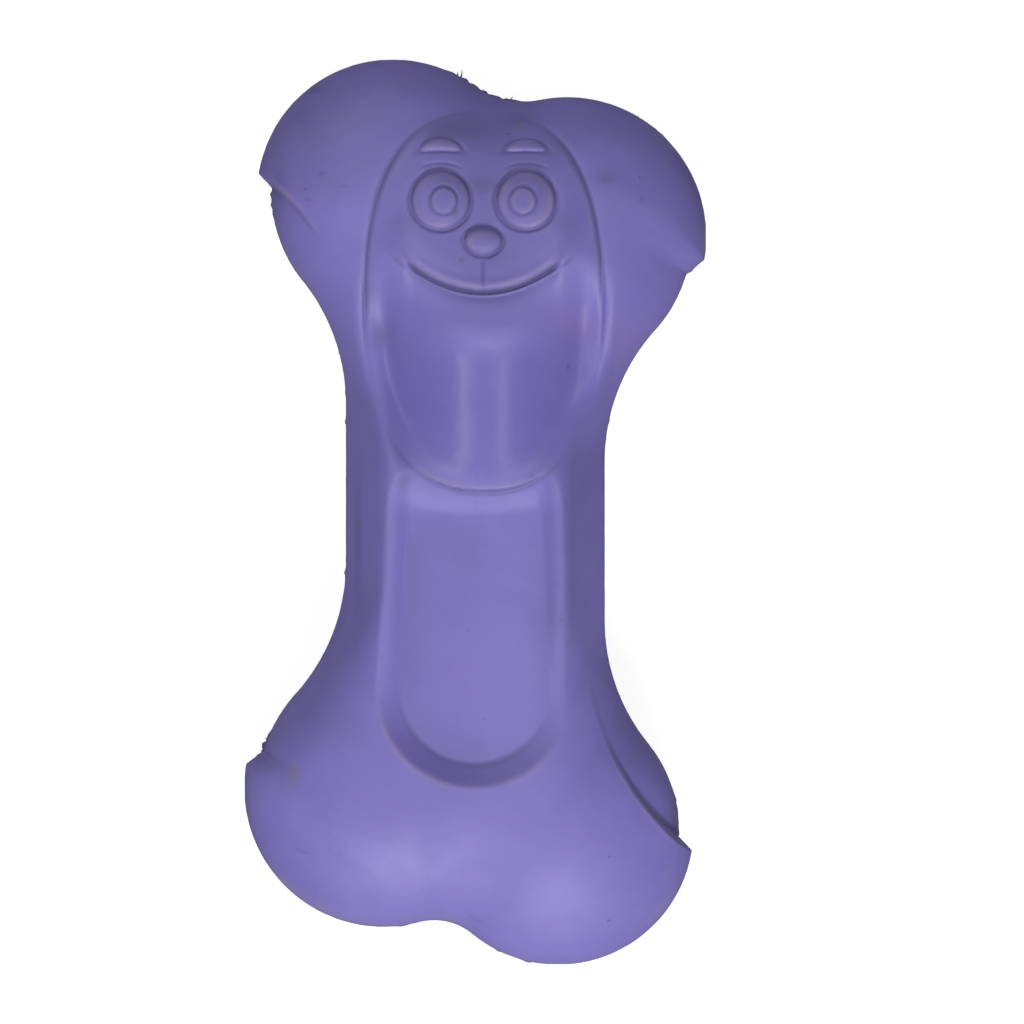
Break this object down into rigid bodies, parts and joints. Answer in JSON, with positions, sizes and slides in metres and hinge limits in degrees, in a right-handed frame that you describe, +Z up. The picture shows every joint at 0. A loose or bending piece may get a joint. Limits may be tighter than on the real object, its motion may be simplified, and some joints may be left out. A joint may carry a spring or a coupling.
{
  "type": "bone-shaped rubber chew toy",
  "caption": "Hollow bone-shaped rubber chew toy, moulded in two halves, with a friendly face in relief, a shallow recess below its chin and a press-in squeaker in its back.",
  "frame": {"origin": "on the resting plane, under the middle of the outline, with the toy lying on its back", "axes": "+Y along the bone to the end with the face, +Z up out of the face, +X to the right of someone who looks down at the face"},
  "size_m": [0.0866, 0.17, 0.0347],
  "materials": {
    "rubber_front": "matt moulded, with a glossier jaw",
    "rubber_back": "matt moulded",
    "squeaker_plastic": "moulded",
    "reed_film": "thin film"
  },
  "bodies": {
    "toy": {"front_half": "rubber_front", "back_half": "rubber_back", "squeaker_cup": "squeaker_plastic", "squeaker_cap": "squeaker_plastic", "reed_bed": "squeaker_plastic"},
    "reed": {"reed": "reed_film"}
  },
  "joints": [
    {"name": "reed_flutter", "type": "hinge", "parent": "toy", "child": "reed", "pos_m": [0, 0, 0.011], "axis": [1, 0, 0], "range_deg": [0, 4], "stiffness_Nm_per_rad": 0.00002}
  ]
}
